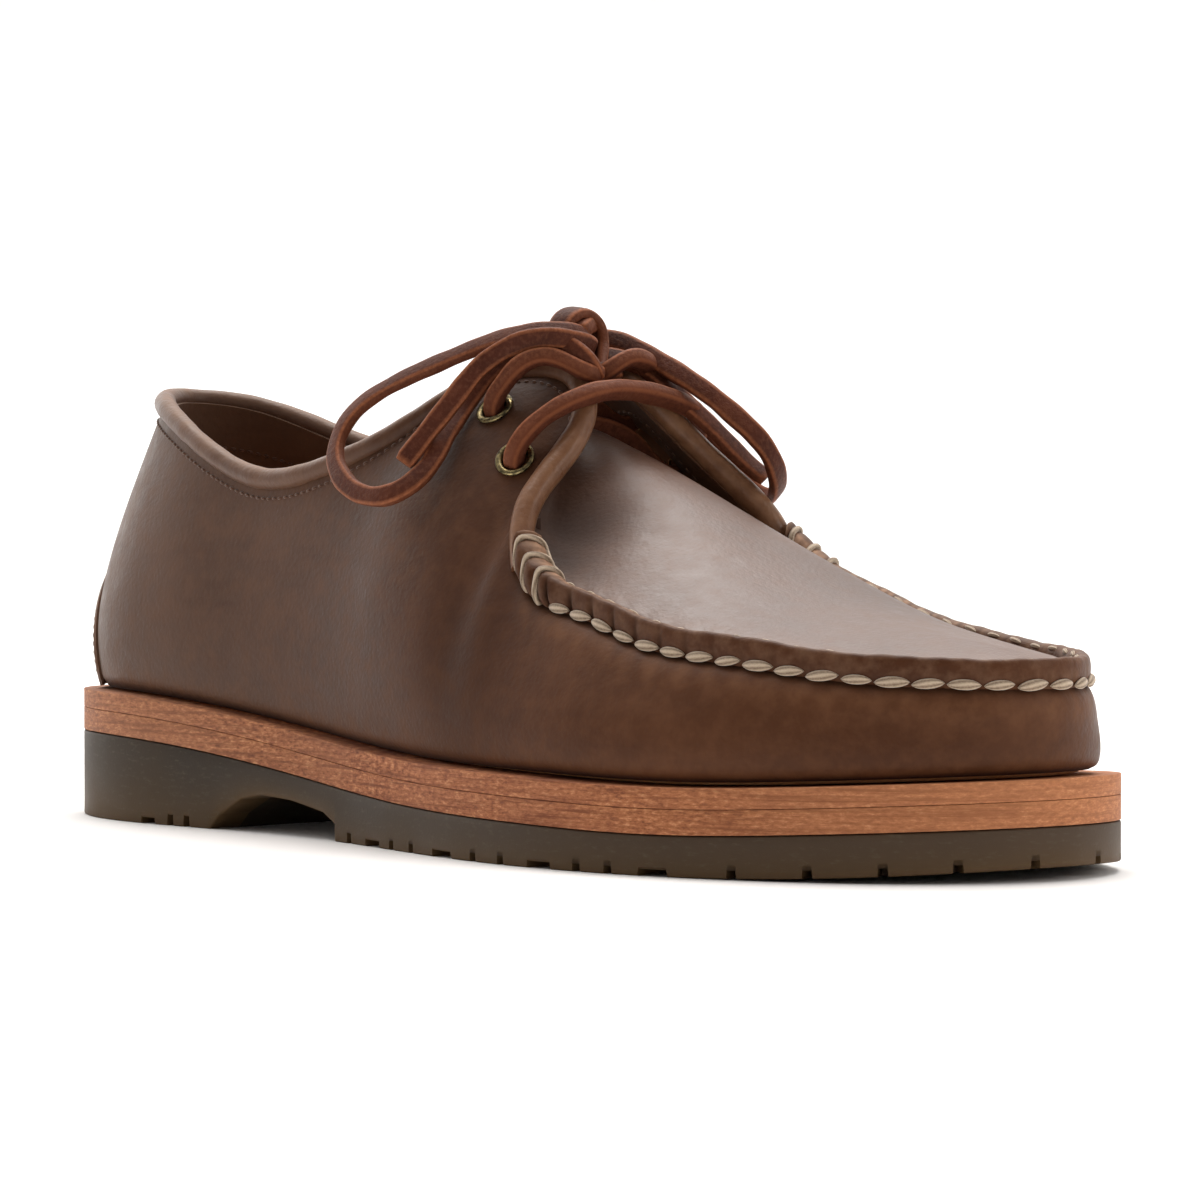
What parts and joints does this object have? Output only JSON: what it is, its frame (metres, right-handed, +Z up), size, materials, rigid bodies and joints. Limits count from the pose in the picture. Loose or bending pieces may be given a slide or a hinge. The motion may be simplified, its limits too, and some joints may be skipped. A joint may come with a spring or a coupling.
{
  "type": "moccasin-toe derby shoe",
  "caption": "Right low-cut leather shoe with a hand-sewn moccasin toe, open two-flap lacing tied in a thong bow, a leather midsole and a lugged rubber outsole.",
  "frame": {"origin": "on the floor, under the middle of the shoe's length and width without its bow", "axes": "+X from heel to toe, +Y to the wearer's left (the inner side of this right shoe), +Z up"},
  "size_m": [0.3, 0.1048, 0.1142],
  "materials": {
    "brown_leather": "oiled grey-brown leather, satin",
    "stacked_leather": "orange-tan leather stack, matt edge",
    "rubber": "dark olive, matt",
    "footbed_leather": "tan, matt",
    "brass": "antique, dark",
    "lace_leather": "red-brown thong"
  },
  "bodies": {
    "root": {"outsole": "rubber", "midsole": "stacked_leather", "welt": "stacked_leather", "insole": "footbed_leather", "upper": "brown_leather", "tongue": "brown_leather", "collar_roll": "brown_leather", "heel_patch": "brown_leather", "eyelet_lateral_upper": "brass", "eyelet_lateral_lower": "brass", "eyelet_medial_upper": "brass", "eyelet_medial_lower": "brass", "lace_bars": "lace_leather", "lace_knot": "lace_leather", "lace_loop_lateral": "lace_leather", "lace_loop_medial": "lace_leather", "lace_end_lateral": "lace_leather", "lace_end_medial": "lace_leather"}
  },
  "joints": []
}
